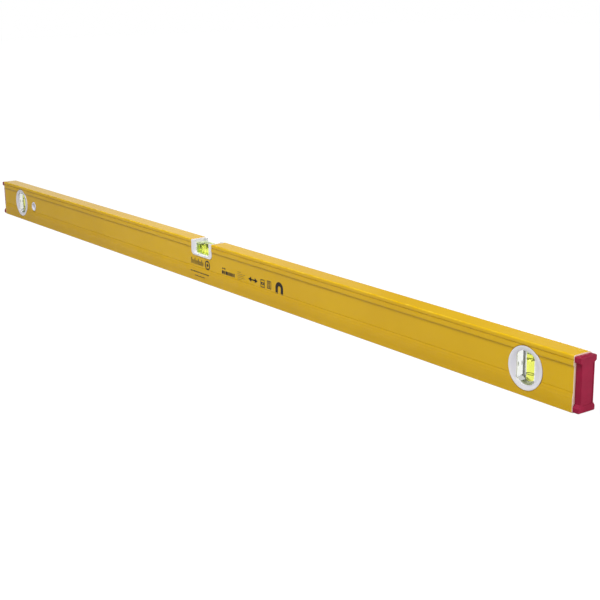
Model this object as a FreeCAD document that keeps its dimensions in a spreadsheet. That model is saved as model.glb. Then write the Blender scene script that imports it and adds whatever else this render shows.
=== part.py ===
import FreeCAD, Part
import math
import os

import Sketcher
from FreeCAD import Placement, Rotation, Vector

# Magnetic spirit level, 120 cm. X runs along the length, the front face looks to -Y, the sole lies at Z = 0
# and the origin is under the middle of the level. All lengths are in millimetres.

# Driving dimensions
DIMENSIONS = {
    # extruded box section
    "overall_length": 1200,
    "profile_height": 51,
    "profile_width": 21,
    "side_wall": 1.6,
    "top_wall": 2.4,
    "sole_wall": 2.6,
    "web_underside": 8.4,
    "web_wall": 1.6,
    "recess_depth": 0.8,
    "top_band": 9.2,
    "step_slope": 1.0,
    "lower_band": 13,
    "lower_slope": 4.6,
    "crease_width": 0.6,
    "crease_depth": 0.25,
    "groove_drop": 4.2,
    "groove_width": 1.0,
    "groove_depth": 0.45,
    "top_edge": 1.4,
    "sole_edge": 0.6,
    "gusset": 1.6,
    "rib_height": 41,
    "rib_wall": 1.3,
    "rib_depth": 1.2,
    # pieces seated in the section
    "fit": 0.1,
    "face_inset": 0.1,
    # end caps
    "cap_flange": 6.5,
    "cap_inset": 0.5,
    "cap_top_inset": 0.9,
    "cap_corner": 1.2,
    "cap_waist": 2.3,
    "cap_low_lobe": 5,
    "cap_low_slope": 3.2,
    "cap_top_lobe": 5.8,
    "cap_top_slope": 1.6,
    "cap_round": 0.9,
    "cap_panel_width": 13,
    "cap_panel_border": 7,
    "cap_panel_depth": 0.4,
    "cap_panel_corner": 2,
    "plug_depth": 16,
    "plug_wall": 1.8,
    "plug_fit": 0.35,
    "crush_rib": 0.3,
    "crush_rib_width": 1.2,
    "crush_rib_edge": 6,
    # plumb vials
    "left_plumb_from_end": 70,
    "right_plumb_from_end": 62.5,
    "plumb_height": 26,
    "plumb_radius": 20.15,
    "rim_width": 1.4,
    "dish_radius": 11,
    "dish_depth": 1.2,
    "plumb_window_half": 11.2,
    "plumb_window_radius": 15.75,
    "plumb_seat": 1.2,
    "plumb_bed": 2.4,
    "resin_slot_width": 1.2,
    "resin_slot_height": 3.2,
    "resin_slot_back": 4,
    "resin_slot_depth": 2.6,
    # centre vial
    "notch_width": 46,
    "notch_depth": 18.8,
    "notch_corner": 5.5,
    "saddle_rim": 6,
    "saddle_sill": 2,
    "saddle_slope": 2.6,
    "saddle_slope_depth": 1.8,
    "saddle_sill_slope": 0.6,
    "saddle_window_corner": 3.5,
    "saddle_top_drop": 0.6,
    "centre_block_drop": 4.2,
    "centre_block_foot": 1.6,
    "centre_seat": 4.4,
    "hook_reach": 1.6,
    "hook_height": 4,
    "hook_half": 6,
    # clear blocks and what they hold
    "block_half": 8,
    "joint_peg_radius": 1.2,
    "joint_peg_length": 3,
    "joint_peg_offset": 16.3,
    "saddle_peg_offset": 20.9,
    "saddle_peg_rise": 5.5,
    "bore_crown": 0.15,
    "bore_dome": 1.2,
    "plumb_bore_radius": 4.2,
    "plumb_bore_half": 11.8,
    "centre_bore_radius": 5,
    "centre_bore_half": 13.5,
    "centre_bore_drop": 7.2,
    "stopper_step": 0.4,
    "stopper_length": 3,
    "stopper_gap": 0.03,
    "index_offset": 6.7,
    "index_width": 0.6,
    "index_depth": 0.25,
    "index_gap": 0.03,
    "liquid_gap": 0.05,
    "bubble_gap": 0.3,
    "bubble_film": 0.45,
    "plumb_bubble_radius": 3.4,
    "plumb_bubble_length": 7,
    "plumb_bubble_chamfer": 1,
    "centre_bubble_half": 6.4,
    "centre_bubble_depth": 3.1,
    "centre_bubble_edge": 1.4,
    # hanging hole
    "hang_from_end": 114,
    "hang_bore_radius": 4.7,
    "hang_wall": 1,
    "hang_flange_width": 1.1,
    "hang_flange": 0.6,
    "hang_chamfer": 0.5,
    # magnets
    "magnet_from_end": 175,
    "magnet_radius": 6,
    "magnet_inset": 0.2,
    "magnet_chamfer": 0.4,
    "magnet_fit": 0.05,
}
MAGNET_COUNT = 6
CLEAR_OF = 5  # how far a cutting outline reaches past the solid that it cuts

doc = FreeCAD.newDocument("spirit_level")
sheet = doc.addObject("Spreadsheet::Sheet", "dims")
for row, (alias, number) in enumerate(DIMENSIONS.items(), start=1):
    sheet.set(f"A{row}", alias)
    sheet.set(f"B{row}", str(number))
    sheet.setAlias(f"B{row}", alias)
doc.recompute()


class Size:
    """A length: its number now, and the formula on the sheet's cells that keeps it right."""

    def __init__(self, number, formula=None):
        self.number = float(number)
        self.formula = formula or repr(float(number))

    def join(self, other, sign, number):
        return Size(number, f"({self.formula} {sign} {other.formula})")

    def __add__(self, other):
        other = as_size(other)
        return self.join(other, "+", self.number + other.number)

    def __sub__(self, other):
        other = as_size(other)
        return self.join(other, "-", self.number - other.number)

    def __mul__(self, other):
        other = as_size(other)
        return self.join(other, "*", self.number * other.number)

    def __truediv__(self, other):
        other = as_size(other)
        return self.join(other, "/", self.number / other.number)

    def __neg__(self):
        return Size(-self.number, f"(0 - {self.formula})")


def as_size(value):
    return value if isinstance(value, Size) else Size(value)


def root(size):
    return Size(math.sqrt(size.number), f"sqrt({size.formula})")


class Dims:
    """The driving dimensions by name."""

    def __getattr__(self, name):
        return Size(sheet.get(name), f"dims.{name}")


d = Dims()


def bind(item, **sizes):
    """Tie properties of an object to formulas on the sheet."""
    for name, size in sizes.items():
        item.setExpression(name, as_size(size).formula)
    return item


def place(item, x=0, y=0, z=0, rotation=Rotation()):
    """Turn an object, and tie its position to the sheet."""
    item.Placement = Placement(Vector(0, 0, 0), rotation)
    for axis, size in zip("xyz", (x, y, z)):
        item.setExpression(f"Placement.Base.{axis}", as_size(size).formula)
    return item


def new_body(name):
    body = doc.addObject("PartDesign::Body", name)
    body.Label = name
    return body


def new_sketch(body, name, plane, offset=None):
    """An empty sketch on one of the body's own origin planes, moved along its normal by an offset."""
    sketch = body.newObject("Sketcher::SketchObject", f"{body.Name}_{name}")
    support = next(item for item in body.Origin.OriginFeatures if item.Role == f"{plane}_Plane")
    sketch.AttachmentSupport = [(support, "")]
    sketch.MapMode = "FlatFace"
    if offset is not None:
        sketch.setExpression("AttachmentOffset.Base.z", as_size(offset).formula)
    return sketch


def hold(sketch, geometry, point, across, up):
    """Fix a point of a sketch at formulas measured from the origin."""
    for kind, size in (("DistanceX", across), ("DistanceY", up)):
        size = as_size(size)
        index = sketch.addConstraint(Sketcher.Constraint(kind, -1, 1, geometry, point, size.number))
        sketch.setExpression(f"Constraints[{index}]", size.formula)


def draw(sketch, corners):
    """A closed outline. A corner is (across, up), with a radius where the edge that leaves it is an arc:
    positive where the arc turns left, negative where it turns right."""
    points = [Vector(as_size(corner[0]).number, as_size(corner[1]).number, 0) for corner in corners]
    ends = []
    for index, corner in enumerate(corners):
        start = points[index]
        end = points[(index + 1) % len(points)]
        if len(corner) == 2:
            geometry = sketch.addGeometry(Part.LineSegment(start, end))
            ends.append((geometry, 1, 2))
            continue
        turn = math.copysign(1, corner[2].number)
        radius = abs(corner[2].number)
        chord = end - start
        across = Vector(-chord.y, chord.x, 0).normalize() * turn
        middle = (start + end) * 0.5
        centre = middle + across * math.sqrt(max(radius**2 - (chord.Length / 2) ** 2, 0))
        top = centre - across * radius
        geometry = sketch.addGeometry(Part.Arc(start, top, end))
        ends.append((geometry, 1, 2) if turn > 0 else (geometry, 2, 1))
    for index, (geometry, first, last) in enumerate(ends):
        following, start_point, _ = ends[(index + 1) % len(ends)]
        sketch.addConstraint(Sketcher.Constraint("Coincident", geometry, last, following, start_point))
    for (geometry, first, last), corner in zip(ends, corners):
        hold(sketch, geometry, first, corner[0], corner[1])
        if len(corner) == 3:
            radius = corner[2] if corner[2].number > 0 else -corner[2]
            index = sketch.addConstraint(Sketcher.Constraint("Radius", geometry, radius.number))
            sketch.setExpression(f"Constraints[{index}]", radius.formula)


def draw_circle(sketch, across, up, radius):
    across, up, radius = as_size(across), as_size(up), as_size(radius)
    circle = Part.Circle(Vector(across.number, up.number, 0), Vector(0, 0, 1), radius.number)
    geometry = sketch.addGeometry(circle)
    hold(sketch, geometry, 3, across, up)
    index = sketch.addConstraint(Sketcher.Constraint("Radius", geometry, radius.number))
    sketch.setExpression(f"Constraints[{index}]", radius.formula)


def mirrored(right_half):
    """Add the left half of an outline that is symmetric about its upright axis, from the right half,
    which runs from bottom to top."""
    left_half = []
    for index in range(len(right_half) - 1, -1, -1):
        corner = right_half[index]
        # the arc that reaches a corner on the right leaves it on the left
        arc = right_half[index - 1][2:] if index else ()
        left_half.append((-as_size(corner[0]), corner[1]) + arc)
    return right_half + left_half


def extrude(body, kind, name, sketch, length, symmetric=True, flip=False):
    """Pad or Pocket a sketch, either side of its plane or to one side."""
    feature = body.newObject(f"PartDesign::{kind}", f"{body.Name}_{name}")
    feature.Profile = sketch
    feature.SideType = "Symmetric" if symmetric else "One side"
    feature.Reversed = flip
    return bind(feature, Length=length)


def revolve(body, kind, name, sketch, axis="V_Axis"):
    """Turn a sketch once about its upright axis, or its level one: kind is Revolution or Groove."""
    feature = body.newObject(f"PartDesign::{kind}", f"{body.Name}_{name}")
    feature.Profile = sketch
    feature.ReferenceAxis = (sketch, [axis])
    feature.Angle = 360
    return feature


# Places that several pieces share
half_width = d.profile_width / 2
panel_face = half_width - d.recess_depth
cavity_half = panel_face - d.side_wall
cavity_floor = d.web_underside + d.web_wall
cavity_roof = d.profile_height - d.top_wall
profile_length = d.overall_length - d.cap_flange * 2
front_face = half_width - d.face_inset
notch_floor = d.profile_height - d.notch_depth
notch_half = d.notch_width / 2
through = d.profile_width + CLEAR_OF
plumb_places = {
    "left": d.left_plumb_from_end - d.overall_length / 2,
    "right": d.overall_length / 2 - d.right_plumb_from_end,
}
hang_offset = d.overall_length / 2 - d.hang_from_end
hang_barrel_radius = d.hang_bore_radius + d.hang_wall
magnet_pitch = (d.overall_length - d.magnet_from_end * 2) / (MAGNET_COUNT - 1)
magnet_places = [magnet_pitch * (index - (MAGNET_COUNT - 1) / 2) for index in range(MAGNET_COUNT)]


def make_profile():
    """The aluminium box section: proud bands above and below, a recessed panel between them, a sight
    groove, an inner web over the magnets, and ribs inside the panel's upper edge."""
    body = new_body("profile")
    section = new_sketch(body, "section", "YZ")
    step = d.profile_height - d.top_band
    groove = d.profile_height - d.groove_drop
    crease = d.lower_band + d.lower_slope
    draw(section, mirrored([
        (half_width - d.sole_edge, 0, d.sole_edge),
        (half_width, d.sole_edge),
        (half_width, d.lower_band),
        (panel_face, crease),
        (panel_face - d.crease_depth, crease + d.crease_width / 2),
        (panel_face, crease + d.crease_width),
        (panel_face, step - d.step_slope),
        (half_width, step),
        (half_width, groove - d.groove_width / 2),
        (half_width - d.groove_depth, groove - d.groove_width / 4),
        (half_width - d.groove_depth, groove + d.groove_width / 4),
        (half_width, groove + d.groove_width / 2),
        (half_width, d.profile_height - d.top_edge, d.top_edge),
        (half_width - d.top_edge, d.profile_height),
    ]))
    draw(section, mirrored([
        (cavity_half - d.gusset, cavity_floor),
        (cavity_half, cavity_floor + d.gusset),
        (cavity_half, d.rib_height),
        (cavity_half - d.rib_depth, d.rib_height),
        (cavity_half - d.rib_depth, d.rib_height + d.rib_wall),
        (cavity_half, d.rib_height + d.rib_wall),
        (cavity_half, cavity_roof - d.gusset),
        (cavity_half - d.gusset, cavity_roof),
    ]))
    draw(section, mirrored([
        (cavity_half, d.sole_wall),
        (cavity_half, d.web_underside),
    ]))
    extrude(body, "Pad", "extrusion", section, profile_length)

    notch = new_sketch(body, "notch", "XZ")
    draw(notch, mirrored([
        (notch_half - d.notch_corner, notch_floor, d.notch_corner),
        (notch_half, notch_floor + d.notch_corner),
        (notch_half, d.profile_height + CLEAR_OF),
    ]))
    extrude(body, "Pocket", "notch_cut", notch, through)

    holes = new_sketch(body, "holes", "XZ")
    for place_x in plumb_places.values():
        draw_circle(holes, place_x, d.plumb_height, d.plumb_radius + d.fit)
    draw_circle(holes, -hang_offset, d.plumb_height, hang_barrel_radius + d.fit)
    extrude(body, "Pocket", "holes_cut", holes, through)

    sockets = new_sketch(body, "magnet_sockets", "XY")
    for place_x in magnet_places:
        draw_circle(sockets, place_x, 0, d.magnet_radius + d.magnet_fit)
    extrude(body, "Pocket", "magnet_cut", sockets, d.web_underside * 2)
    return place(body)


def make_cap(name, side):
    """A pressed-in end cap. Its flange is full width at its lobes and narrower between them, where the
    cut wall of the section shows, and a hollow plug with crush ribs grips the cavity."""
    body = new_body(name)
    flange = new_sketch(body, "flange", "YZ")
    waist = half_width - d.cap_waist
    top = d.profile_height - d.cap_top_inset
    top_lobe = d.profile_height - d.cap_top_lobe
    draw(flange, mirrored([
        (front_face - d.cap_corner, d.cap_inset, d.cap_corner),
        (front_face, d.cap_inset + d.cap_corner),
        (front_face, d.cap_low_lobe),
        (waist, d.cap_low_lobe + d.cap_low_slope),
        (waist, top_lobe - d.cap_top_slope),
        (front_face, top_lobe),
        (front_face, top - d.cap_corner, d.cap_corner),
        (front_face - d.cap_corner, top),
    ]))
    plate = extrude(body, "Pad", "plate", flange, d.cap_flange, symmetric=False)
    doc.recompute()

    # the outer rim of the flange is rounded
    rim = [
        f"Edge{index}"
        for index, edge in enumerate(plate.Shape.Edges, start=1)
        if edge.BoundBox.XMin > d.cap_flange.number / 2
    ]
    soft = body.newObject("PartDesign::Fillet", f"{name}_soft_rim")
    soft.Base = (plate, rim)
    bind(soft, Radius=d.cap_round)

    plug = new_sketch(body, "plug", "YZ")
    grip = cavity_half - d.plug_fit
    foot = cavity_floor + d.plug_fit
    head = d.rib_height - d.plug_fit
    outline = [(grip - d.gusset, foot), (grip, foot + d.gusset)]
    for rib in (foot + d.crush_rib_edge, head - d.crush_rib_edge):
        outline += [
            (grip, rib - d.crush_rib_width / 2),
            (grip + d.crush_rib, rib),
            (grip, rib + d.crush_rib_width / 2),
        ]
    draw(plug, mirrored(outline + [(grip, head)]))
    extrude(body, "Pad", "plug_pad", plug, d.plug_depth, symmetric=False, flip=True)

    hollow = new_sketch(body, "hollow", "YZ", offset=-d.plug_depth)
    draw(hollow, mirrored([
        (grip - d.plug_wall - d.gusset, foot + d.plug_wall),
        (grip - d.plug_wall, foot + d.plug_wall + d.gusset),
        (grip - d.plug_wall, head - d.plug_wall),
    ]))
    extrude(body, "Pocket", "hollow_cut", hollow, d.plug_depth, symmetric=False, flip=True)

    panel = new_sketch(body, "panel", "YZ", offset=d.cap_flange)
    panel_half = d.cap_panel_width / 2
    panel_top = d.profile_height - d.cap_panel_border
    draw(panel, mirrored([
        (panel_half - d.cap_panel_corner, d.cap_panel_border, d.cap_panel_corner),
        (panel_half, d.cap_panel_border + d.cap_panel_corner),
        (panel_half, panel_top - d.cap_panel_corner, d.cap_panel_corner),
        (panel_half - d.cap_panel_corner, panel_top),
    ]))
    extrude(body, "Pocket", "panel_cut", panel, d.cap_panel_depth, symmetric=False)
    turned = Rotation(Vector(0, 0, 1), 0 if side > 0 else 180)
    return place(body, x=profile_length * side / 2, rotation=turned)


def make_bush(name, turn):
    """Half of the hanging hole's bush: a flange in the panel's recess and a barrel to the middle."""
    body = new_body(name)
    section = new_sketch(body, "section", "XY")
    flange_face = panel_face + d.hang_flange
    flange_radius = hang_barrel_radius + d.hang_flange_width
    draw(section, [
        (d.hang_bore_radius, 0),
        (d.hang_bore_radius, -flange_face + d.hang_chamfer),
        (d.hang_bore_radius + d.hang_chamfer, -flange_face),
        (flange_radius - d.hang_chamfer, -flange_face),
        (flange_radius, -flange_face + d.hang_chamfer),
        (flange_radius, -panel_face),
        (hang_barrel_radius, -panel_face),
        (hang_barrel_radius, 0),
    ])
    revolve(body, "Revolution", "turned", section)
    return place(body, x=-hang_offset, z=d.plumb_height, rotation=turn)


def make_plumb_half(name, place_x, turn, front):
    """Half of a plumb vial's round housing: a rim, a dished face, the window, and the seat that grips
    the clear block. The front half has pegs, and the back half the sockets that they enter."""
    body = new_body(name)
    section = new_sketch(body, "section", "XY")
    dish_edge = d.plumb_radius - d.rim_width
    dish_floor = front_face - d.dish_depth
    draw(section, [
        (0, 0),
        (d.plumb_radius, 0),
        (d.plumb_radius, -front_face),
        (dish_edge, -front_face),
        (d.dish_radius, -dish_floor),
        (0, -dish_floor),
    ])
    revolve(body, "Revolution", "turned", section)

    window = new_sketch(body, "window", "XZ")
    draw(window, window_outline(d.plumb_window_half, d.plumb_window_radius))
    extrude(body, "Pocket", "window_cut", window, through)

    seat = new_sketch(body, "seat", "XZ")
    draw(seat, window_outline(
        d.plumb_window_half + d.plumb_seat + d.fit,
        d.plumb_window_radius + d.plumb_seat + d.fit,
    ))
    extrude(body, "Pocket", "seat_cut", seat, (d.block_half + d.fit) * 2)

    slot = new_sketch(body, "slot", "YZ")
    draw(slot, [
        (-d.resin_slot_back - d.resin_slot_width / 2, -d.resin_slot_height / 2),
        (-d.resin_slot_back + d.resin_slot_width / 2, -d.resin_slot_height / 2),
        (-d.resin_slot_back + d.resin_slot_width / 2, d.resin_slot_height / 2),
        (-d.resin_slot_back - d.resin_slot_width / 2, d.resin_slot_height / 2),
    ])
    slot_reach = d.plumb_window_half + d.plumb_seat + d.resin_slot_depth
    extrude(body, "Pocket", "slot_cut", slot, slot_reach * 2)
    add_pegs(body, front, [(d.joint_peg_offset * end, 0) for end in (-1, 1)])
    return place(body, x=place_x, z=d.plumb_height, rotation=turn)


def window_outline(half, radius):
    """Two upright sides, joined above and below by arcs about the centre."""
    corner = root(radius * radius - half * half)
    return [(-half, -corner, radius), (half, -corner), (half, corner, radius), (-half, corner)]


def add_pegs(body, front, places):
    pegs = new_sketch(body, "pegs", "XZ")
    for across, up in places:
        draw_circle(pegs, across, up, d.joint_peg_radius if front else d.joint_peg_radius + d.fit)
    if front:
        extrude(body, "Pad", "peg_pads", pegs, d.joint_peg_length, symmetric=False, flip=True)
    else:
        extrude(body, "Pocket", "peg_sockets", pegs, (d.joint_peg_length + d.fit) * 2)


def saddle_opening(inset, sill):
    """The outline of the centre window: open at the top, round in its lower corners."""
    half = notch_half - d.fit - inset
    floor = notch_floor + d.fit + sill
    return mirrored([
        (half - d.saddle_window_corner, floor, d.saddle_window_corner),
        (half, floor + d.saddle_window_corner),
        (half, d.profile_height + CLEAR_OF),
    ])


def make_saddle_half(name, turn, front):
    """Half of the frame that lines the notch: a flat rim, a slope down to the clear block, the seat
    that grips the block, and a hook at each end that snaps under the top wall."""
    body = new_body(name)
    outer_half = notch_half - d.fit
    outer_floor = notch_floor + d.fit
    outer_corner = d.notch_corner - d.fit
    shell = new_sketch(body, "shell", "XZ")
    draw(shell, mirrored([
        (outer_half - outer_corner, outer_floor, outer_corner),
        (outer_half, outer_floor + outer_corner),
        (outer_half, d.profile_height - d.saddle_top_drop),
    ]))
    extrude(body, "Pad", "shell_pad", shell, front_face, symmetric=False)

    hook_top = cavity_roof - d.fit
    hooks = new_sketch(body, "hooks", "XZ")
    for end in (-1, 1):
        corners = [
            ((outer_half - d.fit) * end, hook_top),
            ((outer_half - d.fit) * end, hook_top - d.hook_height),
            ((outer_half + d.hook_reach) * end, hook_top - d.hook_reach),
            ((outer_half + d.hook_reach) * end, hook_top),
        ]
        draw(hooks, corners)
    extrude(body, "Pad", "hook_pads", hooks, d.hook_half, symmetric=False)

    mouth = new_sketch(body, "mouth", "XZ", offset=front_face)
    draw(mouth, saddle_opening(d.saddle_rim, d.saddle_sill))
    throat = new_sketch(body, "throat", "XZ", offset=front_face - d.saddle_slope_depth)
    throat_inset = d.saddle_rim + d.saddle_slope
    throat_sill = d.saddle_sill + d.saddle_sill_slope
    draw(throat, saddle_opening(throat_inset, throat_sill))
    slope = body.newObject("PartDesign::SubtractiveLoft", f"{name}_slope")
    slope.Profile = mouth
    slope.Sections = [throat]
    slope.Ruled = True

    window = new_sketch(body, "window", "XZ")
    draw(window, saddle_opening(throat_inset, throat_sill))
    extrude(body, "Pocket", "window_cut", window, through)

    seat = new_sketch(body, "seat", "XZ")
    seat_half = centre_block_half + d.fit
    draw(seat, mirrored([
        (seat_half, centre_block_foot - d.fit),
        (seat_half, d.profile_height + CLEAR_OF),
    ]))
    extrude(body, "Pocket", "seat_cut", seat, (d.block_half + d.fit) * 2)
    peg_height = outer_floor + d.saddle_peg_rise
    add_pegs(body, front, [(d.saddle_peg_offset * end, peg_height) for end in (-1, 1)])
    return place(body, rotation=turn)


# The centre block's place
centre_block_half = notch_half - d.fit - d.saddle_rim - d.saddle_slope + d.centre_seat
centre_block_foot = notch_floor + d.fit + d.saddle_sill + d.saddle_sill_slope - d.centre_block_foot
centre_block_top = d.profile_height - d.centre_block_drop
centre_axis = centre_block_top - d.centre_bore_drop

# The plumb block's outline about the vial's centre
block_side = d.plumb_window_half + d.plumb_seat
block_radius = d.plumb_window_radius + d.plumb_seat
bed_top = block_radius - d.plumb_bed
block_corner = root(block_radius * block_radius - block_side * block_side)
bed_half = root(block_radius * block_radius - bed_top * bed_top)


def plumb_block_outline():
    return [
        (-bed_half, -bed_top),
        (bed_half, -bed_top, block_radius),
        (block_side, -block_corner),
        (block_side, block_corner, block_radius),
        (-block_side, block_corner),
        (-block_side, -block_corner, block_radius),
    ]


def centre_block_outline():
    """The centre block lies on its side: across is up from the bore's axis."""
    top = centre_block_top - centre_axis
    foot = centre_block_foot - centre_axis
    return [
        (foot, -centre_block_half),
        (top, -centre_block_half),
        (top, centre_block_half),
        (foot, centre_block_half),
    ]


def make_block(name, outline, radius, half, top):
    """A clear acrylic block with its bore, two grooves for the index rings and a counterbore for the
    stopper. The bore runs along the body's own Z, and two long tapers make it widest in the middle."""
    body = new_body(name)
    shape = new_sketch(body, "shape", "XZ")
    draw(shape, outline)
    extrude(body, "Pad", "blank", shape, d.block_half * 2)

    end = radius - d.bore_crown
    mouth = end + d.stopper_step
    bore = new_sketch(body, "bore", "XZ")
    draw(bore, [
        (0, -half - d.bore_dome),
        (end - d.bore_dome, -half - d.bore_dome),
        (end, -half),
        (radius, 0),
        (end, half),
        (mouth, half),
        (mouth, top + CLEAR_OF),
        (0, top + CLEAR_OF),
    ])
    revolve(body, "Groove", "bore_cut", bore)

    grooves = new_sketch(body, "index_grooves", "XZ")
    for sign in (-1, 1):
        low = d.index_offset * sign - d.index_width / 2 - d.index_gap
        high = d.index_offset * sign + d.index_width / 2 + d.index_gap
        outer = radius + d.index_depth + d.index_gap
        draw(grooves, [(end - d.bore_crown, low), (outer, low), (outer, high), (end - d.bore_crown, high)])
    revolve(body, "Groove", "index_cut", grooves)
    return body


def make_turned(name, outline):
    """A round piece turned about its own Z axis."""
    body = new_body(name)
    section = new_sketch(body, "section", "XZ")
    draw(section, outline)
    revolve(body, "Revolution", "turned", section)
    return body


def make_stopper(name, radius, half):
    outer = radius - d.bore_crown + d.stopper_step - d.stopper_gap
    top = half + d.stopper_length
    return make_turned(name, [
        (0, half),
        (outer, half),
        (outer, top),
        (0, top),
    ])


def make_index_ring(name, radius, sign):
    low = d.index_offset * sign - d.index_width / 2
    high = d.index_offset * sign + d.index_width / 2
    outer = radius + d.index_depth
    return make_turned(name, [(radius, low), (outer, low), (outer, high), (radius, high)])


def make_liquid_column(name, radius, half):
    """The bore's filling, as wide as the bore's ends, before the bubble's place is taken out of it."""
    end = radius - d.bore_crown - d.liquid_gap
    floor = -half - d.bore_dome + d.liquid_gap
    return make_turned(name, [
        (0, floor),
        (end - d.bore_dome, floor),
        (end, -half),
        (end, half - d.liquid_gap),
        (0, half - d.liquid_gap),
    ])


def make_plumb_bubble(name, film):
    """The bubble of an upright vial: round below, and flattened above where it rests at the stopper."""
    radius = d.plumb_bubble_radius + film
    top = d.plumb_bore_half - d.bubble_gap + film
    foot = d.plumb_bore_half - d.bubble_gap - d.plumb_bubble_length - film
    return make_turned(name, [
        (0, foot, radius),
        (radius, foot + radius),
        (radius, top - d.plumb_bubble_chamfer),
        (radius - d.plumb_bubble_chamfer, top),
        (0, top),
    ])


def make_centre_bubble(name, film):
    """The bubble of the lying vial: its back follows the bore, its underside is level and its ends are
    round, seen from above."""
    crown = d.centre_bore_radius - d.bubble_gap
    half = d.centre_bubble_half + film
    edge = d.centre_bubble_edge + film
    foot = crown - d.centre_bubble_depth - film
    back = make_turned(f"{name}_back", [
        (0, -half),
        (crown + film, -half),
        (crown + film, half),
        (0, half),
    ])
    lens = new_body(f"{name}_lens")
    section = new_sketch(lens, "section", "XZ")
    draw(section, [
        (foot, 0),
        (foot, half - edge, -edge),
        (foot + edge, half),
        (crown + film + CLEAR_OF, half),
        (crown + film + CLEAR_OF, 0),
    ])
    revolve(lens, "Revolution", "turned", section, "H_Axis")
    bubble = doc.addObject("Part::Common", name)
    bubble.Label = name
    bubble.Base = back
    bubble.Tool = lens
    return bubble


def make_plumb_bed(name):
    """The pad of set resin that the plumb block stands on."""
    body = new_body(name)
    shape = new_sketch(body, "shape", "XZ")
    draw(shape, [(-bed_half, -bed_top, block_radius), (bed_half, -bed_top)])
    extrude(body, "Pad", "pad", shape, d.block_half * 2)
    return body


def make_vial(prefix, spot, turn, outline, radius, half, top, make_bubble):
    """A block with its stopper, index rings, liquid and bubble, all about the bore's axis. The bubble's
    place in the liquid is larger than the bubble by a film, and open to the wall above it."""
    made = [
        make_block(f"{prefix}_vial_block", outline, radius, half, top),
        make_stopper(f"{prefix}_vial_stopper", radius, half),
        make_index_ring(f"{prefix}_index_ring_a", radius, -1),
        make_index_ring(f"{prefix}_index_ring_b", radius, 1),
    ]
    liquid = doc.addObject("Part::Cut", f"{prefix}_liquid")
    liquid.Label = f"{prefix}_liquid"
    liquid.Base = make_liquid_column(f"{prefix}_liquid_column", radius, half)
    liquid.Tool = make_bubble(f"{prefix}_bubble_room", d.bubble_film)
    made += [liquid, make_bubble(f"{prefix}_bubble", Size(0))]
    for item in made:
        place(item, x=spot[0], z=spot[1], rotation=turn)
    return made


def make_magnet(name, place_x):
    """A disc magnet set in the sole: it stops against the web and lies just inside the sole's face."""
    magnet = make_turned(name, [
        (0, d.magnet_inset),
        (d.magnet_radius - d.magnet_chamfer, d.magnet_inset),
        (d.magnet_radius, d.magnet_inset + d.magnet_chamfer),
        (d.magnet_radius, d.web_underside),
        (0, d.web_underside),
    ])
    return place(magnet, x=place_x)


AS_IS = Rotation()
HALF_TURN = Rotation(Vector(0, 0, 1), 180)
LYING = Rotation(Vector(0, 1, 0), -90)  # own X points up, own Z along the level

pieces = [make_profile()]
for side, hand in ((-1, "left"), (1, "right")):
    pieces.append(make_cap(f"{hand}_end_cap", side))
for face, turn in (("front", AS_IS), ("back", HALF_TURN)):
    pieces.append(make_bush(f"hang_bush_{face}", turn))
    pieces.append(make_saddle_half(f"centre_housing_{face}", turn, face == "front"))
    for hand, place_x in plumb_places.items():
        pieces.append(make_plumb_half(f"{hand}_plumb_housing_{face}", place_x, turn, face == "front"))
for hand, place_x in plumb_places.items():
    spot = (place_x, d.plumb_height)
    pieces.append(place(make_plumb_bed(f"{hand}_resin_bed"), x=spot[0], z=spot[1]))
    pieces += make_vial(
        hand, spot, AS_IS, plumb_block_outline(), d.plumb_bore_radius, d.plumb_bore_half, block_radius,
        make_plumb_bubble,
    )
pieces += make_vial(
    "centre", (Size(0), centre_axis), LYING, centre_block_outline(), d.centre_bore_radius,
    d.centre_bore_half, centre_block_half, make_centre_bubble,
)
for index, place_x in enumerate(magnet_places, start=1):
    pieces.append(make_magnet(f"magnet_{index}", place_x))
doc.recompute()

failed = [item.Name for item in doc.Objects if "Invalid" in item.State or "Error" in item.State]
failed += [piece.Label for piece in pieces if piece.Shape.isNull() or not piece.Shape.isValid()]
if failed:
    raise RuntimeError("these objects failed: " + ", ".join(failed))

os.makedirs("parts", exist_ok=True)
for piece in pieces:
    piece.Shape.exportStep(f"parts/{piece.Label}.step")
    solids = len(piece.Shape.Solids)
    print(f"{piece.Label}: {solids} solid, {piece.Shape.Volume / 1000:.3f} cm3")
print(f"{len(pieces)} pieces")
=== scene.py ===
import math

import bmesh
import bpy
from mathutils import Matrix, Quaternion, Vector


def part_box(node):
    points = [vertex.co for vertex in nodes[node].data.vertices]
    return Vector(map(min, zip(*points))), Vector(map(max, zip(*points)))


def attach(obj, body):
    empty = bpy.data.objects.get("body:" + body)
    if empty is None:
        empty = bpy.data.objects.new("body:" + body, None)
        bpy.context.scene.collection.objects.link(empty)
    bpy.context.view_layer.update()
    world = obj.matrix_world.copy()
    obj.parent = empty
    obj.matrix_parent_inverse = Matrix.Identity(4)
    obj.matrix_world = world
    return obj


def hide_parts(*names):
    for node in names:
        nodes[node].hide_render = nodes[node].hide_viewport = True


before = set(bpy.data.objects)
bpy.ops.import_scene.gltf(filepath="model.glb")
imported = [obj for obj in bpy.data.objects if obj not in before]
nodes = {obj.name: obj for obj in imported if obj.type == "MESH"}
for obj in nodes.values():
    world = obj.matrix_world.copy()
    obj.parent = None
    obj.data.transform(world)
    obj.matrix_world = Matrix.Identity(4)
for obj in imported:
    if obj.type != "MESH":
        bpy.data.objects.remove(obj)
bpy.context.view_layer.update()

# Looks of a yellow 120 cm magnetic spirit level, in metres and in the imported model's own frame:
# X runs along the level, the printed front looks to -Y and the sole lies at Z = 0.

mm = 0.001
scene = bpy.context.scene
scene.view_settings.view_transform = "Standard"
print("stage: frame,", len(nodes), "nodes")

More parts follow.
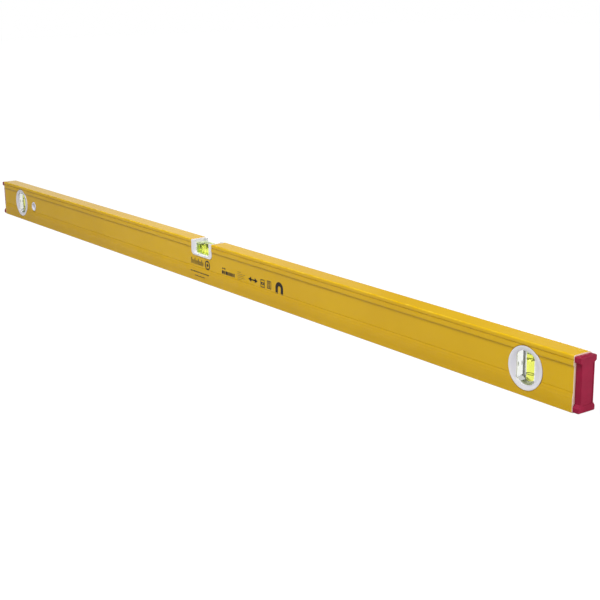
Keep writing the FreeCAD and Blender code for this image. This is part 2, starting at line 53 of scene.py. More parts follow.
camera = {
    "place": (1.26298, -0.77558, 0.36075),
    "yaw": 144.176,  # degrees from +X towards +Y
    "pitch": 14.631,  # degrees downwards
    "roll": -0.770,  # degrees about the line of sight
    "focalPixels": 1243,
    "framePixels": 600,
    "sensor": 36,
}


def makeCamera(c):
    lens = bpy.data.cameras.new("camera")
    lens.sensor_width = c["sensor"]
    lens.lens = c["focalPixels"] * c["sensor"] / c["framePixels"]
    lens.clip_start = 0.01
    lens.clip_end = 50
    yaw = math.radians(c["yaw"])
    pitch = math.radians(c["pitch"])
    ahead = Vector((math.cos(yaw) * math.cos(pitch), math.sin(yaw) * math.cos(pitch), -math.sin(pitch)))
    eye = bpy.data.objects.new("camera", lens)
    eye.location = c["place"]
    eye.rotation_mode = "QUATERNION"
    eye.rotation_quaternion = Quaternion(ahead, -math.radians(c["roll"])) @ ahead.to_track_quat("-Z", "Y")
    scene.collection.objects.link(eye)
    scene.camera = eye


makeCamera(camera)
print("stage: camera")


# Shader maths

def paint(red, green, blue):  # screen colour, 0 to 255, made linear
    shares = [v / 255 for v in (red, green, blue)]
    return tuple(v / 12.92 if v <= 0.04045 else ((v + 0.055) / 1.055) ** 2.4 for v in shares) + (1,)


class Wire:  # a socket that can stand in a sum
    def __init__(self, finish, socket):
        self.finish = finish
        self.socket = socket

    def maths(self, operation, *terms):
        return self.finish.node("ShaderNodeMath", {"operation": operation}, dict(enumerate(terms)))

    def __add__(self, other):
        return self.maths("ADD", self, other)

    def __mul__(self, other):
        return self.maths("MULTIPLY", self, other)

    def __sub__(self, other):
        return self.maths("SUBTRACT", self, other)

    def __rsub__(self, other):
        return self.maths("SUBTRACT", other, self)

    def root(self):
        return self.maths("SQRT", self)

    def __abs__(self):
        return self.maths("ABSOLUTE", self)

    __radd__ = __add__
    __rmul__ = __mul__

    def most(self, other):
        return self.maths("MAXIMUM", self, other)

    def ramp(self, low, high):  # 0 at low, 1 at high, held outside
        return self.finish.node("ShaderNodeMapRange", {}, {0: self, 1: low, 2: high, 3: 0, 4: 1})


class Finish:  # one material and its nodes
    def __init__(self, name, owner=None):
        self.material = owner or bpy.data.materials.new(name)
        self.material.use_nodes = True
        self.tree = self.material.node_tree
        self.tree.nodes.clear()

    def node(self, kind, settings=None, inputs=None, out=0):
        made = self.tree.nodes.new(kind)
        for key, value in (settings or {}).items():
            setattr(made, key, value)
        for key, value in (inputs or {}).items():
            if isinstance(value, Wire):
                self.tree.links.new(value.socket, made.inputs[key])
            else:
                made.inputs[key].default_value = value
        return Wire(self, made.outputs[out]) if made.outputs else None

    def spot(self):
        return self.node("ShaderNodeTexCoord", out="Object")

    def axes(self):
        split = self.node("ShaderNodeSeparateXYZ", inputs={0: self.spot()})
        return [Wire(self, output) for output in split.socket.node.outputs]

    def noise(self, scale, detail=3, stretch=(1, 1, 1)):
        place = self.node("ShaderNodeVectorMath", {"operation": "MULTIPLY"}, {0: self.spot(), 1: stretch})
        return self.node("ShaderNodeTexNoise", inputs={"Vector": place, "Scale": scale, "Detail": detail})

    def blend(self, share, first, second):  # between two colours
        return self.node("ShaderNodeMix", {"data_type": "RGBA"}, {0: share, 6: first, 7: second}, out=2)

    def bump(self, height, depth, under=None):
        inputs = {"Height": height, "Distance": depth, "Strength": 1}
        if under:
            inputs["Normal"] = under
        return self.node("ShaderNodeBump", inputs=inputs)

    def principled(self, **sockets):
        inputs = {key.replace("_", " "): value for key, value in sockets.items()}
        return self.node("ShaderNodeBsdfPrincipled", inputs=inputs)

    def mixShader(self, share, first, second):
        return self.node("ShaderNodeMixShader", inputs={0: share, 1: first, 2: second})

    def close(self, shader, kind="ShaderNodeOutputMaterial"):
        self.node(kind, inputs={"Surface": shader})
        return self.material


# Studio

studio = {
    "ambient": 0.43,
    "gloss": 0.10,  # what shines back from the dark room above the backdrop
    "lamps": {
        "key": {"place": (0.15, -0.50, 1.25), "aim": (0.10, 0, 0.03), "size": (0.5, 0.5), "power": 14.2},
        "fill": {"place": (1.90, -0.40, 0.40), "aim": (0.50, 0, 0.03), "size": (0.6, 0.6), "power": 5.4},
        "rear": {"place": (1.80, 1.30, 0.40), "aim": (0.40, 0, 0.03), "size": (0.8, 0.8), "power": 13},
        "behind": {"place": (-0.25, 1.70, 0.16), "aim": (-0.05, 0, 0.03), "size": (1.6, 0.24), "power": 9},
        "backdrop": {
            "place": (-2.85, 1.66, 0.42), "aim": (0.14, 0.32, 0.42), "size": (1.5, 0.84), "power": 2.25,
        },
    },
    "floorHalf": 6,
    "floorColour": paint(175, 175, 177),
    "floorWhite": 0.75,  # share of plain white that the camera sees on the floor
    "floorGlow": 1.28,
}


def seenDirectly(finish):  # 1 for the camera, also through glass, 0 for the light that falls on things
    path = finish.node("ShaderNodeLightPath").socket.node
    direct, through = [Wire(finish, path.outputs[kind]) for kind in ("Is Camera Ray", "Is Transmission Ray")]
    return direct.most(through)


def addLamp(name, c):
    light = bpy.data.lights.new(name, "AREA")
    light.shape = "RECTANGLE"
    light.size, light.size_y = c["size"]
    light.energy = c["power"]
    lamp = bpy.data.objects.new(name, light)
    lamp.location = c["place"]
    lamp.rotation_mode = "QUATERNION"
    lamp.rotation_quaternion = (Vector(c["place"]) - Vector(c["aim"])).to_track_quat("Z", "Y")
    lamp.visible_camera = False
    scene.collection.objects.link(lamp)


def makeStudio(s):
    world = Finish("world", bpy.data.worlds.new("world"))
    scene.world = world.material
    glossy = world.node("ShaderNodeLightPath", out="Is Glossy Ray")
    strength = seenDirectly(world) * (1 - s["ambient"]) + s["ambient"] - glossy * (s["ambient"] - s["gloss"])
    sky = world.node("ShaderNodeBackground", inputs={"Color": (1, 1, 1, 1), "Strength": strength})
    world.close(sky, "ShaderNodeOutputWorld")
    for name, lamp in s["lamps"].items():
        addLamp(name, lamp)

    pale = Finish("floorPale")
    ground = pale.node("ShaderNodeBsdfDiffuse", inputs={"Color": s["floorColour"]})
    white = pale.node("ShaderNodeEmission", inputs={"Color": (1, 1, 1, 1), "Strength": s["floorGlow"]})
    pale.close(pale.mixShader(seenDirectly(pale) * s["floorWhite"], ground, white))
    bm = bmesh.new()
    bmesh.ops.create_grid(bm, x_segments=1, y_segments=1, size=s["floorHalf"])
    mesh = bpy.data.meshes.new("floor")
    bm.to_mesh(mesh)
    bm.free()
    mesh.materials.append(pale.material)
    floor = bpy.data.objects.new("floor", mesh)
    scene.collection.objects.link(floor)


makeStudio(studio)
print("stage: studio")


# Making pieces

def dress(material, *names):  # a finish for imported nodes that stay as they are
    for name in names:
        mesh = nodes[name].data
        mesh.materials.clear()
        mesh.materials.append(material)


def finishPiece(name, bm, material, body="level", stands=(), sharpOver=35):
    bmesh.ops.remove_doubles(bm, verts=bm.verts, dist=0.001 * mm)
    bmesh.ops.recalc_face_normals(bm, faces=bm.faces)
    mesh = bpy.data.meshes.new(name)
    bm.to_mesh(mesh)
    bm.free()
    mesh.shade_smooth()
    mesh.set_sharp_from_angle(angle=math.radians(sharpOver))
    mesh.materials.append(material)
    piece = bpy.data.objects.new(name, mesh)
    scene.collection.objects.link(piece)
    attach(piece, body)
    if stands:
        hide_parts(*stands)


def middle(name):
    low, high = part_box(name)
    return (low + high) / 2


# Powder-coated section, bare where it was sawn and milled

coat = {
    "yellow": paint(232, 186, 8),
    "yellowDeep": paint(226, 179, 5),
    # pale yellow for random speckle, and for the wear and painted highlight along the top edges
    "edge": paint(242, 208, 66),
    # brown for painted shade on the sides
    "paintedShade": paint(150, 108, 14),
    # bare metal, tinted pink and lightened as a painted reflection of the red cap
    "aluminium": paint(255, 230, 214),
    "sole": paint(196, 196, 198),
    "bareStrip": 0.7 * mm,  # left uncoated beside each sawn end
    "sawnBlur": 0.0001,
    "soleTo": 0.00004,
    "flank": (0.0090, 0.0094),  # distances from the middle plane where the sides begin
    "corners": (  # where painted shade darkens the sides, at the groove, under the step, at the crease and down the lower band: height, reach up or down, share
        (0.0468, 0.0012, 0.30),
        (0.0408, 0.0024, 0.20),
        (0.0176, 0.0010, 0.20),
        (0.0050, 0.0110, 0.15),
    ),
    "slope": (0.0150, 0.0030, 0.22),  # painted shade on the upward slope above the lower band, against the light it catches
    "flangeShade": (1.0 * mm, 0.75),  # painted shade, a dark line round each round white flange: width, share
    "topEdge": {"height": (0.0498, 0.0505), "across": (0.0090, 0.0098), "wear": 0.6},
    "speckle": 0.12,
    "cloudScale": 9,
    "speckScale": 1600,
    "drawScale": 420,
    "peelScale": 900,
    "wearScale": 130,
    "rough": 0.20,
    "specular": 0.4,
    "bareMetal": 0.2,  # share of metal on bare places
    "peelDepth": 0.000012,
    "drawDepth": 0.000006,
}


def makeCoat(c):
    f = Finish("powderCoat")
    x, y, z = f.axes()
    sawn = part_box("profile")[1].x - c["bareStrip"]
    cut = abs(x).ramp(sawn - c["sawnBlur"], sawn + c["sawnBlur"])
    sole = z.ramp(c["soleTo"], c["soleTo"] * 0.5)
    bare = cut.most(sole)
    cloud = f.noise(c["cloudScale"], 3)
    speck = f.noise(c["speckScale"], 2)
    draw = f.noise(c["drawScale"], 4, (0.02, 1, 1))  # faint lines of the extrusion, along X
    tone = f.blend(cloud.ramp(0.35, 0.65), c["yellow"], c["yellowDeep"])
    tone = f.blend(speck.ramp(0.62, 0.80) * c["speckle"], tone, c["edge"])
    flank = abs(y).ramp(*c["flank"])
    # painted shade: the sides are darkened at the groove, under the step, at the crease, down the lower band
    # and on the slope
    for height, reach, share in (*c["corners"], c["slope"]):
        near = abs(z - height).ramp(reach, reach * 0.2)
        tone = f.blend(near * flank * share, tone, c["paintedShade"])
    # painted shade round each white flange where it sits in the section
    width, share = c["flangeShade"]
    for name in ("left_plumb_housing_front", "right_plumb_housing_front", "hang_bush_front"):
        low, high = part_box(name)
        across = x - (low.x + high.x) / 2
        up = z - (low.z + high.z) / 2
        reach = (high.z - low.z) / 2
        ring = (across * across + up * up).root().ramp(reach + width, reach + width * 0.4)
        tone = f.blend(ring * flank * share, tone, c["paintedShade"])
    # the top front edges are lightened: partly wear, partly a painted highlight along the rounded edge
    top = c["topEdge"]
    worn = f.noise(c["wearScale"], 4).ramp(0.40, 0.7)
    wearAndHighlight = z.ramp(*top["height"]) * abs(y).ramp(*top["across"]) * worn
    tone = f.blend(wearAndHighlight * top["wear"], tone, c["edge"])
    # the sawn ends show bare metal with the pink painted reflection, the milled sole plain grey
    metal = f.blend(sole, c["aluminium"], c["sole"])
    tone = f.blend(bare, tone, metal)
    peel = f.bump(f.noise(c["peelScale"], 2), c["peelDepth"])
    grain = f.bump(draw, c["drawDepth"], peel)
    rough = cloud * 0.06 + draw * 0.08 + (c["rough"] - 0.07) - bare * 0.1
    return f.close(f.principled(
        Base_Color=tone, Roughness=rough, Metallic=bare * c["bareMetal"], Normal=grain,
        Specular_IOR_Level=c["specular"],
    ))


dress(makeCoat(coat), "profile")
print("stage: section")


# End caps

capPlastic = {
    "crimson": paint(163, 24, 64),
    "dark": paint(145, 19, 55),
    "worn": paint(172, 60, 86),
    "endFace": (0.5992, 0.6),  # distances from the level's middle where the outer face begins
    "sides": (0.0078, 0.0102),  # and from the middle plane, where its side edges do
    "middle": 0.0255,
    "topAndFoot": (0.0236, 0.0252),  # and up or down from the middle
    "wear": 0.6,
    "cloudScale": 45,
    "sparkScale": 1500,
    "wearScale": 240,
    "rough": 0.52,
    "specular": 0.2,
    "sparkDepth": 0.000018,  # spark-eroded mould texture
}


def makeCapPlastic(c):
    f = Finish("capPlastic")
    x, y, z = f.axes()
    spark = f.noise(c["sparkScale"], 3)
    cloud = f.noise(c["cloudScale"], 3)
    tone = f.blend(cloud.ramp(0.35, 0.68), c["crimson"], c["dark"])
    edge = abs(y).ramp(*c["sides"]).most(abs(z - c["middle"]).ramp(*c["topAndFoot"]))
    corner = abs(x).ramp(*c["endFace"]) * edge
    worn = f.noise(c["wearScale"], 4).ramp(0.45, 0.75)
    tone = f.blend(corner * worn * c["wear"], tone, c["worn"])
    rough = spark * 0.14 + (c["rough"] - 0.07)
    return f.close(f.principled(
        Base_Color=tone, Roughness=rough, Normal=f.bump(spark, c["sparkDepth"]),
        Specular_IOR_Level=c["specular"],
    ))


dress(makeCapPlastic(capPlastic), "left_end_cap", "right_end_cap")
print("stage: end caps")


# White housings and the hanging hole's bush

whitePlastic = {
    "white": paint(247, 247, 250),
    "shade": paint(240, 240, 245),
    # lilac-grey painted shade for faces set behind the rim
    "dishShade": paint(233, 232, 240),
    "rim": 0.01036,  # distance from the middle plane past which a face is a rim
    "rimBlur": 0.0003,
    "dishShadeShare": 0.8,
    "cloudScale": 120,
    "flowScale": 700,
    "rough": 0.30,
    "specular": 0.45,
    "flowDepth": 0.000008,
}


def makeWhitePlastic(c):
    f = Finish("whitePlastic")
    cloud = f.noise(c["cloudScale"], 3)
    flow = f.noise(c["flowScale"], 3)
    y = f.axes()[1]
    tone = f.blend(cloud.ramp(0.3, 0.7), c["white"], c["shade"])
    # painted shade: every face set behind the rim plane, the dish of each ring and what lies behind it,
    # takes the lilac-grey
    tone = f.blend(abs(y).ramp(c["rim"], c["rim"] - c["rimBlur"]) * c["dishShadeShare"], tone, c["dishShade"])
    rough = flow * 0.12 + (c["rough"] - 0.06)
    return f.close(f.principled(
        Base_Color=tone, Roughness=rough, Normal=f.bump(flow, c["flowDepth"]),
        Specular_IOR_Level=c["specular"],
    ))


sides = ("left", "right")
faces = ("front", "back")
housings = [f"{side}_plumb_housing_{face}" for side in sides for face in faces]
housings += [f"{what}_{face}" for what in ("centre_housing", "hang_bush") for face in faces]
dress(makeWhitePlastic(whitePlastic), *housings)
print("stage: housings")


# Clear pieces of the vials. Each tints what is seen through it, and lets the light pass to what lies behind.

clears = {
    "clearAcrylic": {
        "tint": paint(240, 242, 240), "deep": paint(235, 238, 234), "ior": 1.40, "rough": 0.015,
    },
    "greenAcrylic": {
        "tint": paint(250, 254, 241), "deep": paint(246, 252, 234), "ior": 1.40, "rough": 0.02,
    },
    "vialLiquid": {
        "tint": paint(254, 255, 122), "deep": paint(248, 252, 106), "ior": 1.03, "rough": 0.01,
    },
    "plumbAir": {
        "tint": paint(252, 253, 232), "deep": paint(248, 250, 218), "ior": 1.12, "rough": 0.01,
    },
    "centreAir": {
        "tint": paint(252, 253, 232), "deep": paint(248, 250, 218), "ior": 1.20, "rough": 0.01,
    },
    "stopperPlastic": {
        "tint": paint(232, 240, 200), "deep": paint(220, 230, 180), "ior": 1.08, "rough": 0.1,
    },
}


def makeClear(name, c):
    f = Finish(name)
    smear = f.noise(160, 3)
    tone = f.blend(smear.ramp(0.35, 0.65), c["tint"], c["deep"])
    rough = smear * c["rough"] + c["rough"] * 0.5
    glass = f.principled(Base_Color=tone, Roughness=rough, IOR=c["ior"], Transmission_Weight=1)
    lit = f.node("ShaderNodeBsdfTransparent", inputs={"Color": c["tint"]})
    path = f.node("ShaderNodeLightPath").socket.node
    shadow, bounced = [Wire(f, path.outputs[kind]) for kind in ("Is Shadow Ray", "Is Diffuse Ray")]
    return f.close(f.mixShader(shadow.most(bounced), glass, lit))


clearFinish = {name: makeClear(name, c) for name, c in clears.items()}

block = {
    "circleSteps": 128,
    "polish": 0.25 * mm,  # edge radius of the centre block
    "polishSteps": 3,
    "wet": 0.05 * mm,  # how far a plumb block's foot lies in the resin, so that no air is between
}
vial = {
    "crown": 0.15 * mm,  # how much wider a bore is in its middle than at its ends
    "ringDepth": 0.25 * mm,
    "endGap": 0.12 * mm,  # between the liquid and the stopper
    "dome": 1.2 * mm,
    "steps": 96,
    "crownSteps": 12,
}
plumbBubble = {
    "bendSteps": 20,  # of a quarter turn
    "shoulder": 0.3,  # share of the radius that is rounded under the stopper
}
centreBubble = {
    "narrow": 0.96,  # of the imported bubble's width
    "taller": 1.08,  # of its height, before the bore and the level underside cut it
    "around": 64,
    "rings": 32,
}


def cutTo(bm, point, normal):  # keep what lies behind a plane, and close it there
    geometry = bm.verts[:] + bm.edges[:] + bm.faces[:]
    bmesh.ops.bisect_plane(bm, geom=geometry, plane_co=point, plane_no=normal, clear_outer=True)


def makePlumbBlock(side):
    low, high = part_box(f"{side}_vial_block")
    centre = middle(f"{side}_plumb_housing_front")
    half = (high.x - low.x) / 2
    radius = high.z - centre.z
    bm = bmesh.new()
    bmesh.ops.create_circle(bm, cap_ends=True, segments=block["circleSteps"], radius=radius)
    bmesh.ops.rotate(bm, verts=bm.verts, matrix=Matrix.Rotation(math.radians(90), 3, "X"))
    cutTo(bm, (half, 0, 0), (1, 0, 0))
    cutTo(bm, (-half, 0, 0), (-1, 0, 0))
    cutTo(bm, (0, 0, low.z - block["wet"] - centre.z), (0, 0, -1))
    grown = bmesh.ops.extrude_face_region(bm, geom=bm.faces[:])
    moved = [item for item in grown["geom"] if isinstance(item, bmesh.types.BMVert)]
    bmesh.ops.translate(bm, verts=moved, vec=(0, high.y - low.y, 0))
    bmesh.ops.translate(bm, verts=bm.verts, vec=(centre.x, low.y, centre.z))
    finishPiece(
        f"{side}_clear_block", bm, clearFinish["clearAcrylic"],
        stands=[f"{side}_vial_block"],
    )


def makeCentreBlock():
    low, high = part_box("centre_vial_block")
    bm = bmesh.new()
    size = Matrix.Diagonal((*(high - low), 1))
    bmesh.ops.create_cube(bm, size=1, matrix=Matrix.Translation((low + high) / 2) @ size)
    top = [edge for edge in bm.edges if all(vert.co.z > high.z - mm for vert in edge.verts)]
    bmesh.ops.bevel(
        bm, geom=top, offset=block["polish"], affect="EDGES", segments=block["polishSteps"], profile=0.5,
        material=-1,
    )
    finishPiece(
        "centre_green_block", bm, clearFinish["greenAcrylic"], stands=["centre_vial_block"],
    )


def spun(outline, steps):  # turn an outline of (radius, height) once about Z
    bm = bmesh.new()
    verts = [bm.verts.new((radius, 0, height)) for radius, height in outline]
    edges = [bm.edges.new(pair) for pair in zip(verts, verts[1:])]
    bmesh.ops.spin(
        bm, geom=verts + edges, cent=(0, 0, 0), axis=(0, 0, 1), angle=math.tau, steps=steps, use_merge=True,
    )
    return bm


def crowned(middleRadius, half):  # the bore's side, from its lower end to its upper end
    heights = [half * (step / vial["crownSteps"] * 2 - 1) for step in range(vial["crownSteps"] + 1)]
    return [(middleRadius - vial["crown"] * (height / half) ** 2, height) for height in heights]


def makeLiquid(prefix, lying):
    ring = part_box(f"{prefix}_index_ring_a")
    radius = (ring[1].y - ring[0].y) / 2 - vial["ringDepth"]
    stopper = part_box(f"{prefix}_vial_stopper")
    centre = middle(f"{prefix}_vial_stopper")
    end = radius - vial["crown"]
    if lying:
        half = -stopper[1].x
        place = Matrix.Translation((0, 0, centre.z)) @ Matrix.Rotation(math.radians(-90), 4, "Y")
    else:
        boreMiddle = middle(f"{prefix}_plumb_housing_front").z
        half = stopper[0].z - boreMiddle
        place = Matrix.Translation((centre.x, 0, boreMiddle))
    foot = -half - vial["dome"]
    top = half - vial["endGap"]
    outline = [(0, foot), (end - vial["dome"], foot)] + crowned(radius, half)[:-1] + [(end, top), (0, top)]
    bm = spun(outline, vial["steps"])
    bm.transform(place)
    finishPiece(
        f"{prefix}_vial_filling", bm, clearFinish["vialLiquid"], stands=[f"{prefix}_liquid"],
    )


def makePlumbBubble(side):
    low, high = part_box(f"{side}_bubble")
    radius = (high.x - low.x) / 2
    height = high.z - low.z
    bend = plumbBubble["bendSteps"]
    outline = []
    for step in range(bend + 1):  # round underside
        angle = math.pi / 2 * step / bend
        outline.append((radius * math.sin(angle), radius * (1 - math.cos(angle))))
    shoulder = radius * plumbBubble["shoulder"]
    for step in range(bend + 1):  # soft shoulder under the stopper
        angle = math.pi / 2 * step / bend
        inward, down = shoulder * (1 - math.cos(angle)), shoulder * (1 - math.sin(angle))
        outline.append((radius - inward, height - down))
    outline.append((0, height))
    bm = spun(outline, vial["steps"])
    centre = middle(f"{side}_bubble")
    bmesh.ops.translate(bm, verts=bm.verts, vec=(centre.x, 0, low.z))
    finishPiece(
        f"{side}_air_bubble", bm, clearFinish["plumbAir"], body=f"{side}_bubble",
        stands=[f"{side}_bubble"],
    )


def makeCentreBubble():
    low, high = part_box("centre_bubble")
    centre = (low + high) / 2
    half = (high - low) / 2
    axis = middle("centre_vial_stopper").z
    wall = high.z - axis
    bm = bmesh.new()
    bmesh.ops.create_uvsphere(
        bm, u_segments=centreBubble["around"], v_segments=centreBubble["rings"], radius=1,
    )
    size = (half.x, half.y * centreBubble["narrow"], half.z * centreBubble["taller"], 1)
    bm.transform(Matrix.Translation(centre) @ Matrix.Diagonal(size))
    for vert in bm.verts:  # the bubble's back follows the bore, its underside is level
        out = math.hypot(vert.co.y, vert.co.z - axis)
        if out > wall:
            vert.co.y *= wall / out
            vert.co.z = axis + (vert.co.z - axis) * wall / out
        vert.co.z = max(vert.co.z, low.z)
    finishPiece(
        "centre_air_bubble", bm, clearFinish["centreAir"], body="centre_bubble",
        stands=["centre_bubble"],
    )


for side in sides:
    makePlumbBlock(side)
    makePlumbBubble(side)
    makeLiquid(side, lying=False)
makeCentreBlock()
makeCentreBubble()
makeLiquid("centre", lying=True)
vialNames = ("left", "right", "centre")
dress(clearFinish["stopperPlastic"], *[f"{prefix}_vial_stopper" for prefix in vialNames])
print("stage: vials")


# Rings, resin and magnets

smallFinishes = {
    "ringBlack": {
        "colours": (paint(84, 88, 28), paint(64, 68, 20)), "rough": 0.4, "metal": 0, "grain": 900,
    },
    # the black index rings again, painted lighter as painted light for the centre vial, where little light
    # reaches them
    "ringPaintedLighter": {
        "colours": (paint(128, 136, 44), paint(104, 112, 34)), "rough": 0.4, "metal": 0, "grain": 900,
    },
    "setResin": {
        "colours": (paint(150, 158, 112), paint(112, 120, 80)), "rough": 0.35, "metal": 0, "grain": 420,
    },
    "magnetNickel": {
        "colours": (paint(204, 203, 200), paint(178, 178, 176)), "rough": 0.28, "metal": 1, "grain": 260,
    },
    "faceInk": {
        "colours": (paint(28, 23, 16), paint(40, 32, 20)), "rough": 0.5, "metal": 0, "grain": 1100,
    },
    "signTip": {
        "colours": (paint(236, 206, 120), paint(226, 194, 102)), "rough": 0.45, "metal": 0, "grain": 1100,
    },
}
grainDepth = 0.00001


def makeSmallFinish(name, c):
    f = Finish(name)
    grain = f.noise(c["grain"], 4)
    tone = f.blend(grain.ramp(0.3, 0.7), *c["colours"])
    return f.close(f.principled(
        Base_Color=tone, Roughness=grain * 0.16 + (c["rough"] - 0.08), Normal=f.bump(grain, grainDepth),
        Metallic=c["metal"],
    ))


small = {name: makeSmallFinish(name, c) for name, c in smallFinishes.items()}
dress(small["ringBlack"], *[f"{side}_index_ring_{ring}" for side in sides for ring in "ab"])
# the centre vial's rings take the lighter copy: painted light
dress(small["ringPaintedLighter"], *[f"centre_index_ring_{ring}" for ring in "ab"])
dress(small["setResin"], *[f"{side}_resin_bed" for side in sides])
dress(small["magnetNickel"], *[name for name in nodes if name.startswith("magnet_")])

resinDot = {  # resin in the slot of a plumb vial's side wall, where it touches the clear block
    "wide": 1.8 * mm,
    "tall": 4.2 * mm,
    "deep": 0.05 * mm,  # how far it wets the block
    "out": 0.05 * mm,
    "away": 4 * mm,  # from the middle plane, at the front and at the back
    "steps": 24,
}


def makeResinDots(side, c):
    low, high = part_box(f"{side}_vial_block")
    centre = middle(f"{side}_plumb_housing_front")
    thick = c["deep"] + c["out"]
    lay = Matrix.Rotation(math.radians(90), 4, "Y")
    shape = Matrix.Diagonal((1, c["wide"], c["tall"], 1))
    bm = bmesh.new()
    for face, outward in ((low.x, -1), (high.x, 1)):
        for away in (-c["away"], c["away"]):
            dot = bmesh.ops.create_cone(
                bm, cap_ends=True, segments=c["steps"], radius1=0.5, radius2=0.5, depth=thick,
            )["verts"]
            place = Matrix.Translation((face + outward * (c["out"] - c["deep"]) / 2, away, centre.z))
            bmesh.ops.transform(bm, verts=dot, matrix=place @ shape @ lay)
    finishPiece(f"{side}_resin_dots", bm, small["setResin"])


for side in sides:
    makeResinDots(side, resinDot)
print("stage: rings, resin, magnets")


# Print on the front: plain marks only. Places in millimetres, X along the level and Z up.

facePrint = {
    "film": 0.03,  # ink thickness
    "panelFace": -9.7,
    "bandFace": -10.5,
    "scale": {
        "from": -25, "to": 3.5, "foot": 20.5, "pitch": 2.6, "tick": 1.5, "short": 5, "tall": 7.6,
        "tallEvery": 3,
    },
    "ring": {
        "at": (12.2, 23.6), "outer": 5.8, "inner": 4.2, "dot": 2.0, "pinhole": 0.01, "hair": 0.9,
        "hairFrom": 1.5,  # in radii of the dot
    },
    "dashRows": [
        {
            "from": -26, "to": 15.7, "at": 11.6, "tall": 1.4, "face": "bandFace",
            "lengths": (3.4, 1.5, 4.6, 2.4),
        },
        {
            "from": -16, "to": 7, "at": 6.9, "tall": 1.1, "face": "bandFace",
            "lengths": (2.2, 3.6, 1.4, 2.8),
        },
        {
            "from": 45.4, "to": 53.6, "at": 26.4, "tall": 1.6, "face": "panelFace",
            "lengths": (2.6, 3.4, 1.6),
        },
        {
            "from": 44.7, "to": 72, "at": 21.8, "tall": 4.2, "face": "panelFace",
            "lengths": (3.6, 2.4, 5.0, 3.2),
        },
    ],
    "dashGap": 0.9,
    "rules": {"from": 78.5, "lengths": (7, 16, 13, 16, 8), "top": 28.4, "pitch": 2.1, "tall": 0.4},
    "arrow": {"from": 101, "to": 120, "at": 24.2, "shaft": 1.7, "head": 6.4, "long": 6},
    "icon": {"wide": 8, "tall": 9.4, "line": 1.1},
    "icons": [  # a vial seen lying, and one seen standing: half width and half height of the vial
        {"at": (130, 23.8), "vial": (2.8, 1.5)},
        {"at": (143.2, 24.6), "vial": (1.6, 3)},
    ],
}


def addBar(bm, left, right, foot, top, face):
    film = facePrint["film"]
    size = Matrix.Diagonal(((right - left) * mm, film * mm, (top - foot) * mm, 1))
    centre = Vector(((left + right) / 2, face - film / 2, (foot + top) / 2)) * mm
    bmesh.ops.create_cube(bm, size=1, matrix=Matrix.Translation(centre) @ size)


def addRing(bm, at, outer, inner, face, start=0, sweep=360, steps=48):
    # a flat ring or part of one, turned from its own cross-section
    film = facePrint["film"]
    centre = Vector((at[0], face, at[1])) * mm
    turn = Matrix.Rotation(math.radians(start), 4, "Y")
    corners = [(inner, 0), (outer, 0), (outer, -film), (inner, -film)]
    verts = [bm.verts.new(centre + turn @ Vector((across * mm, out * mm, 0))) for across, out in corners]
    section = bm.faces.new(verts)
    whole = sweep == 360
    bmesh.ops.spin(
        bm, geom=[section] + list(section.edges) + verts, cent=centre, axis=(0, 1, 0),
        angle=math.radians(sweep), steps=steps, use_merge=whole,
    )
    if whole:
        bmesh.ops.delete(bm, geom=[section], context="FACES_ONLY")


def addFrame(bm, left, right, foot, top, line, face):
    addBar(bm, left, right, foot, foot + line, face)
    addBar(bm, left, right, top - line, top, face)
    addBar(bm, left, left + line, foot + line, top - line, face)
    addBar(bm, right - line, right, foot + line, top - line, face)


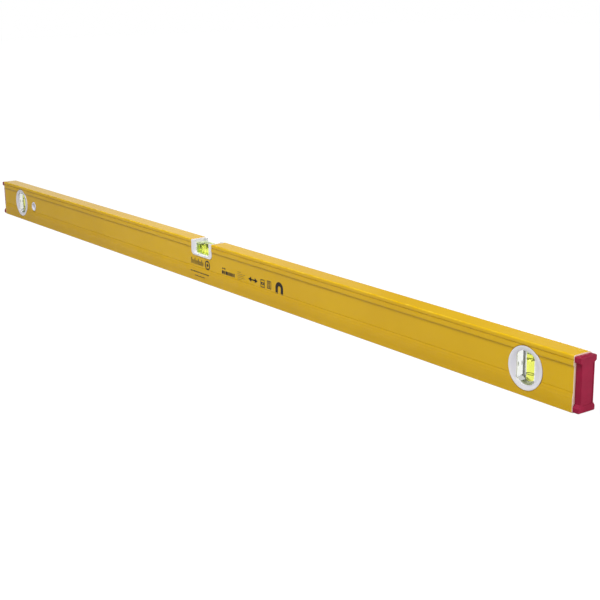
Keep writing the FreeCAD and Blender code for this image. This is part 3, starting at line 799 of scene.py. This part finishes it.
def makePrint(p):
    bm = bmesh.new()
    panel = p["panelFace"]
    s = p["scale"]
    count = int((s["to"] - s["from"]) / s["pitch"]) + 1
    for index in range(count):
        left = s["from"] + s["pitch"] * index
        reach = s["tall"] if index % s["tallEvery"] == 0 else s["short"]
        addBar(bm, left, left + s["tick"], s["foot"], s["foot"] + reach, panel)

    r = p["ring"]
    across, up = r["at"]
    addRing(bm, r["at"], r["outer"], r["inner"], panel)
    addRing(bm, r["at"], r["dot"], r["pinhole"], panel, steps=24)
    for sign in (-1, 1):
        near = sorted((r["dot"] * r["hairFrom"] * sign, r["inner"] * sign))
        addBar(bm, across + near[0], across + near[1], up - r["hair"] / 2, up + r["hair"] / 2, panel)
        addBar(bm, across - r["hair"] / 2, across + r["hair"] / 2, up + near[0], up + near[1], panel)

    for row in p["dashRows"]:
        left = row["from"]
        index = 0
        while left < row["to"] - p["dashGap"]:
            right = min(left + row["lengths"][index % len(row["lengths"])], row["to"])
            addBar(bm, left, right, row["at"] - row["tall"] / 2, row["at"] + row["tall"] / 2, p[row["face"]])
            left = right + p["dashGap"]
            index += 1

    rules = p["rules"]
    for index, length in enumerate(rules["lengths"]):
        top = rules["top"] - rules["pitch"] * index
        addBar(bm, rules["from"], rules["from"] + length, top - rules["tall"], top, panel)

    a = p["arrow"]
    start, end = a["from"] + a["long"] / 2, a["to"] - a["long"] / 2
    addBar(bm, start, end, a["at"] - a["shaft"] / 2, a["at"] + a["shaft"] / 2, panel)
    for tip, back in ((a["from"], a["long"]), (a["to"], -a["long"])):
        made = bmesh.ops.create_circle(bm, cap_ends=True, segments=3, radius=1)["verts"]
        spread = a["head"] / 2
        places = [(tip, a["at"]), (tip + back, a["at"] + spread), (tip + back, a["at"] - spread)]
        for vert, (x, z) in zip(made, places):
            vert.co = Vector((x, panel, z)) * mm
        grown = bmesh.ops.extrude_face_region(bm, geom=[made[0].link_faces[0]])
        moved = [item for item in grown["geom"] if isinstance(item, bmesh.types.BMVert)]
        bmesh.ops.translate(bm, verts=moved, vec=(0, -p["film"] * mm, 0))

    i = p["icon"]
    for icon in p["icons"]:
        across, up = icon["at"]
        for wide, tall in ((i["wide"] / 2, i["tall"] / 2), icon["vial"]):
            addFrame(bm, across - wide, across + wide, up - tall, up + tall, i["line"], panel)
    finishPiece("front_print", bm, small["faceInk"])


makePrint(facePrint)

magnetSign = {
    "at": (162.9, 24.2),  # centre of the bow
    "outer": 7.4,
    "inner": 2.7,
    "legs": 5.4,
    "tips": 3.6,
    "tipLine": 0.6,
}


def makeMagnetSign(c):
    panel = facePrint["panelFace"]
    bm = bmesh.new()
    addRing(bm, c["at"], c["outer"], c["inner"], panel, start=180, sweep=180, steps=32)
    across, up = c["at"]
    foot = up - c["legs"]
    line = c["tipLine"]
    tips = bmesh.new()
    for sign in (-1, 1):
        left, right = sorted((across + c["inner"] * sign, across + c["outer"] * sign))
        addBar(bm, left, right, foot, up, panel)
        addFrame(bm, left, right, foot - c["tips"], foot - line, line, panel)
        addBar(tips, left + line, right - line, foot - c["tips"] + line, foot - line * 2, panel)
    finishPiece("magnet_sign", bm, small["faceInk"])
    finishPiece("magnet_sign_tips", tips, small["signTip"])


makeMagnetSign(magnetSign)
print("stage: print")

print("stage: done")
